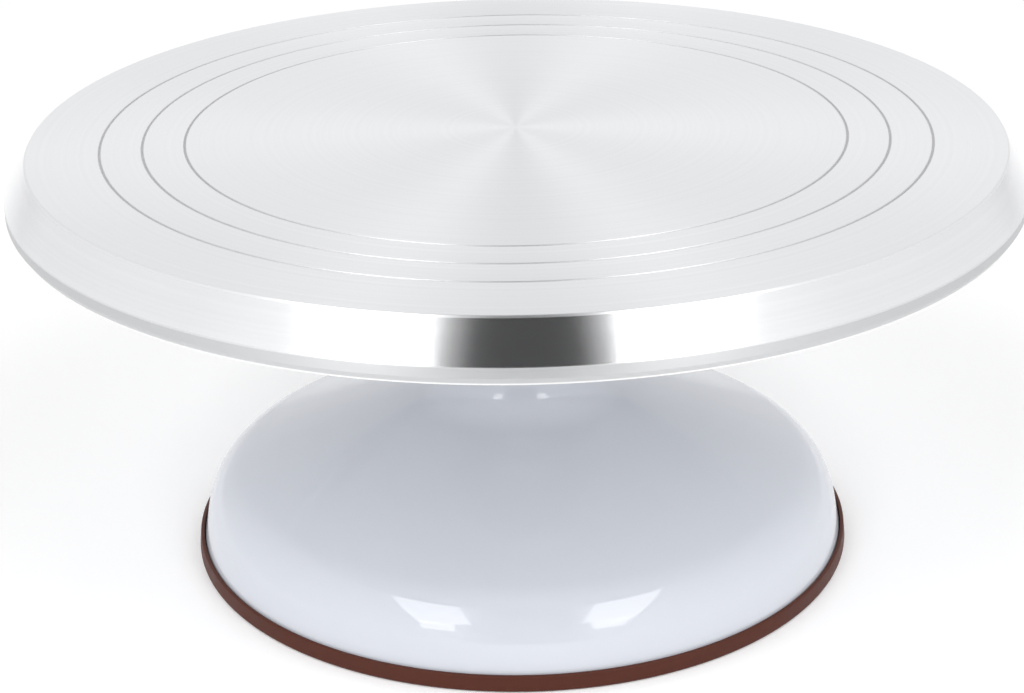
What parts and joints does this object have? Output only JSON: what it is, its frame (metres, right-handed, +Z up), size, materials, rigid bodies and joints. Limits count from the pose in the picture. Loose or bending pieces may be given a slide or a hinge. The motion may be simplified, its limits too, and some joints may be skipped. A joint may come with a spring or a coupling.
{
  "type": "cake turntable",
  "caption": "Round turned aluminium cake plate that spins on ball bearings over a hollow white cone-shaped base with an anti-slip silicone ring.",
  "frame": {"origin": "on the table plane, on the spindle's axis, under the middle of the base", "axes": "+Z up along the spindle; +X to the right and +Y away, seen from the front; the spindle's grub screw faces +X at rest"},
  "size_m": [0.305, 0.305, 0.134],
  "materials": {
    "turned_aluminium": "lathe-turned and clear anodised, fine concentric tool marks, polished bevel",
    "cast_aluminium": "as-cast satin",
    "ground_steel": "ground bright",
    "spring_steel": "oiled spring steel",
    "bearing_steel": "polished bearing steel with a film of oil",
    "cage_steel": "stamped, satin",
    "zinc_plated_steel": "bright zinc plate",
    "blackened_steel": "black oxide",
    "white_plastic": "gloss moulded, faintly cool white",
    "cover_plastic": "fine-grained moulding",
    "column_plastic": "plain moulding",
    "brown_silicone": "matte silicone"
  },
  "bodies": {
    "base": {"base_shell": "white_plastic", "anti_slip_ring": "brown_silicone", "bottom_cover": "cover_plastic", "inner_column": "column_plastic", "upper_outer_race": "bearing_steel", "lower_outer_race": "bearing_steel", "column_screw_1": "zinc_plated_steel", "column_screw_2": "zinc_plated_steel", "column_screw_3": "zinc_plated_steel", "column_screw_4": "zinc_plated_steel", "cover_screw_1": "zinc_plated_steel", "cover_screw_2": "zinc_plated_steel", "cover_screw_3": "zinc_plated_steel", "cover_screw_4": "zinc_plated_steel", "cover_screw_5": "zinc_plated_steel", "cover_screw_6": "zinc_plated_steel"},
    "turntable": {"turntable_plate": "turned_aluminium", "hub_flange": "cast_aluminium", "hub_screw_1": "zinc_plated_steel", "hub_screw_2": "zinc_plated_steel", "hub_screw_3": "zinc_plated_steel", "hub_screw_4": "zinc_plated_steel", "hub_set_screw": "blackened_steel", "spindle": "ground_steel", "retaining_ring": "spring_steel", "preload_washer": "spring_steel", "upper_inner_race": "bearing_steel", "lower_inner_race": "bearing_steel"},
    "upper_cage": {"upper_cage": "cage_steel"},
    "lower_cage": {"lower_cage": "cage_steel"},
    "upper_ball_1": {"upper_ball_1": "bearing_steel"},
    "upper_ball_2": {"upper_ball_2": "bearing_steel"},
    "upper_ball_3": {"upper_ball_3": "bearing_steel"},
    "upper_ball_4": {"upper_ball_4": "bearing_steel"},
    "upper_ball_5": {"upper_ball_5": "bearing_steel"},
    "upper_ball_6": {"upper_ball_6": "bearing_steel"},
    "upper_ball_7": {"upper_ball_7": "bearing_steel"},
    "upper_ball_8": {"upper_ball_8": "bearing_steel"},
    "lower_ball_1": {"lower_ball_1": "bearing_steel"},
    "lower_ball_2": {"lower_ball_2": "bearing_steel"},
    "lower_ball_3": {"lower_ball_3": "bearing_steel"},
    "lower_ball_4": {"lower_ball_4": "bearing_steel"},
    "lower_ball_5": {"lower_ball_5": "bearing_steel"},
    "lower_ball_6": {"lower_ball_6": "bearing_steel"},
    "lower_ball_7": {"lower_ball_7": "bearing_steel"}
  },
  "joints": [
    {"name": "plate_spin", "type": "hinge", "parent": "base", "child": "turntable", "pos_m": [0, 0, 0.0905], "axis": [0, 0, 1], "continuous": true},
    {"name": "upper_cage_spin", "type": "hinge", "parent": "base", "child": "upper_cage", "pos_m": [0, 0, 0.0905], "axis": [0, 0, 1], "continuous": true},
    {"name": "lower_cage_spin", "type": "hinge", "parent": "base", "child": "lower_cage", "pos_m": [0, 0, 0.025], "axis": [0, 0, 1], "continuous": true},
    {"name": "upper_ball_1_roll", "type": "hinge", "parent": "upper_cage", "child": "upper_ball_1", "pos_m": [0.0125, 0, 0.0905], "axis": [0, 0, 1], "continuous": true},
    {"name": "upper_ball_2_roll", "type": "hinge", "parent": "upper_cage", "child": "upper_ball_2", "pos_m": [0.00884, 0.00884, 0.0905], "axis": [0, 0, 1], "continuous": true},
    {"name": "upper_ball_3_roll", "type": "hinge", "parent": "upper_cage", "child": "upper_ball_3", "pos_m": [0, 0.0125, 0.0905], "axis": [0, 0, 1], "continuous": true},
    {"name": "upper_ball_4_roll", "type": "hinge", "parent": "upper_cage", "child": "upper_ball_4", "pos_m": [-0.00884, 0.00884, 0.0905], "axis": [0, 0, 1], "continuous": true},
    {"name": "upper_ball_5_roll", "type": "hinge", "parent": "upper_cage", "child": "upper_ball_5", "pos_m": [-0.0125, 0, 0.0905], "axis": [0, 0, 1], "continuous": true},
    {"name": "upper_ball_6_roll", "type": "hinge", "parent": "upper_cage", "child": "upper_ball_6", "pos_m": [-0.00884, -0.00884, 0.0905], "axis": [0, 0, 1], "continuous": true},
    {"name": "upper_ball_7_roll", "type": "hinge", "parent": "upper_cage", "child": "upper_ball_7", "pos_m": [0, -0.0125, 0.0905], "axis": [0, 0, 1], "continuous": true},
    {"name": "upper_ball_8_roll", "type": "hinge", "parent": "upper_cage", "child": "upper_ball_8", "pos_m": [0.00884, -0.00884, 0.0905], "axis": [0, 0, 1], "continuous": true},
    {"name": "lower_ball_1_roll", "type": "hinge", "parent": "lower_cage", "child": "lower_ball_1", "pos_m": [0.011, 0, 0.025], "axis": [0, 0, 1], "continuous": true},
    {"name": "lower_ball_2_roll", "type": "hinge", "parent": "lower_cage", "child": "lower_ball_2", "pos_m": [0.00686, 0.0086, 0.025], "axis": [0, 0, 1], "continuous": true},
    {"name": "lower_ball_3_roll", "type": "hinge", "parent": "lower_cage", "child": "lower_ball_3", "pos_m": [-0.00245, 0.01072, 0.025], "axis": [0, 0, 1], "continuous": true},
    {"name": "lower_ball_4_roll", "type": "hinge", "parent": "lower_cage", "child": "lower_ball_4", "pos_m": [-0.00991, 0.00477, 0.025], "axis": [0, 0, 1], "continuous": true},
    {"name": "lower_ball_5_roll", "type": "hinge", "parent": "lower_cage", "child": "lower_ball_5", "pos_m": [-0.00991, -0.00477, 0.025], "axis": [0, 0, 1], "continuous": true},
    {"name": "lower_ball_6_roll", "type": "hinge", "parent": "lower_cage", "child": "lower_ball_6", "pos_m": [-0.00245, -0.01072, 0.025], "axis": [0, 0, 1], "continuous": true},
    {"name": "lower_ball_7_roll", "type": "hinge", "parent": "lower_cage", "child": "lower_ball_7", "pos_m": [0.00686, -0.0086, 0.025], "axis": [0, 0, 1], "continuous": true}
  ],
  "couplings": [
    {"joint": "upper_cage_spin", "follows": "plate_spin", "ratio": 0.381},
    {"joint": "lower_cage_spin", "follows": "plate_spin", "ratio": 0.3648},
    {"joint": "upper_ball_1_roll", "follows": "plate_spin", "ratio": -1.9818},
    {"joint": "upper_ball_2_roll", "follows": "plate_spin", "ratio": -1.9818},
    {"joint": "upper_ball_3_roll", "follows": "plate_spin", "ratio": -1.9818},
    {"joint": "upper_ball_4_roll", "follows": "plate_spin", "ratio": -1.9818},
    {"joint": "upper_ball_5_roll", "follows": "plate_spin", "ratio": -1.9818},
    {"joint": "upper_ball_6_roll", "follows": "plate_spin", "ratio": -1.9818},
    {"joint": "upper_ball_7_roll", "follows": "plate_spin", "ratio": -1.9818},
    {"joint": "upper_ball_8_roll", "follows": "plate_spin", "ratio": -1.9818},
    {"joint": "lower_ball_1_roll", "follows": "plate_spin", "ratio": -1.7135},
    {"joint": "lower_ball_2_roll", "follows": "plate_spin", "ratio": -1.7135},
    {"joint": "lower_ball_3_roll", "follows": "plate_spin", "ratio": -1.7135},
    {"joint": "lower_ball_4_roll", "follows": "plate_spin", "ratio": -1.7135},
    {"joint": "lower_ball_5_roll", "follows": "plate_spin", "ratio": -1.7135},
    {"joint": "lower_ball_6_roll", "follows": "plate_spin", "ratio": -1.7135},
    {"joint": "lower_ball_7_roll", "follows": "plate_spin", "ratio": -1.7135}
  ]
}
